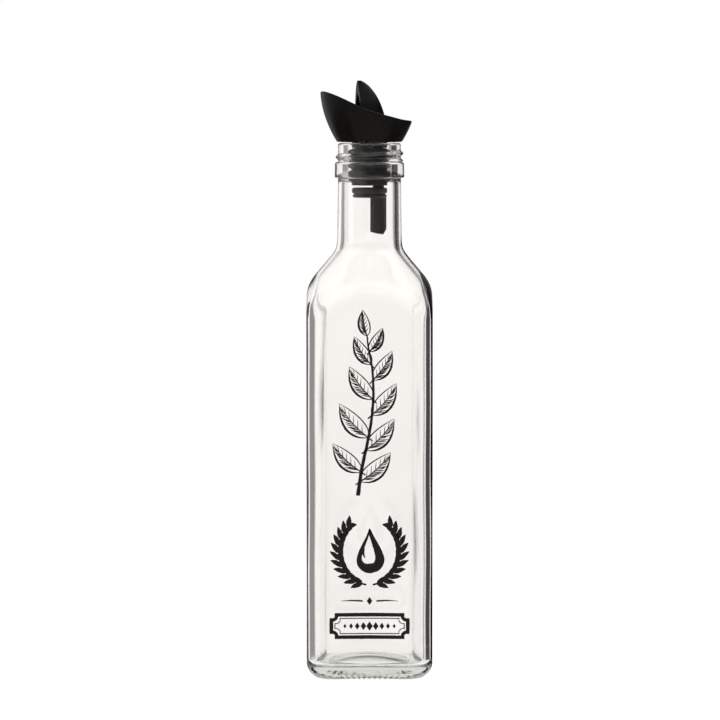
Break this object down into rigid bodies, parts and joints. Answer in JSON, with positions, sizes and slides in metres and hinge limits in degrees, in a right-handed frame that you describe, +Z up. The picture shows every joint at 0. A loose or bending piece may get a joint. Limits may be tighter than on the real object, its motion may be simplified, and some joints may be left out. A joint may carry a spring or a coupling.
{
  "type": "oil dispenser bottle",
  "caption": "Tall square clear-glass oil bottle with a threaded neck, closed by a black pourer: a flared cup with a hooded outlet on a ribbed stopper plug with a vent tube.",
  "frame": {"origin": "middle of the base, on the surface that the bottle stands on", "axes": "+Z up the bottle, -Y out of the printed front face, -X towards the pouring lip, which is turned 15 degrees to the front"},
  "size_m": [0.0596, 0.0596, 0.283],
  "materials": {
    "clear_glass": "clear, fire-polished, black screen print on the front face",
    "black_plastic": "glossy moulded black plastic",
    "dark_rubber": "soft matte dark grey sealing plug",
    "grey_plastic": "satin dark grey plastic"
  },
  "bodies": {
    "root": {"bottle": "clear_glass", "pourer_head": "black_plastic", "stopper_plug": "dark_rubber", "vent_tube": "grey_plastic"}
  },
  "joints": []
}
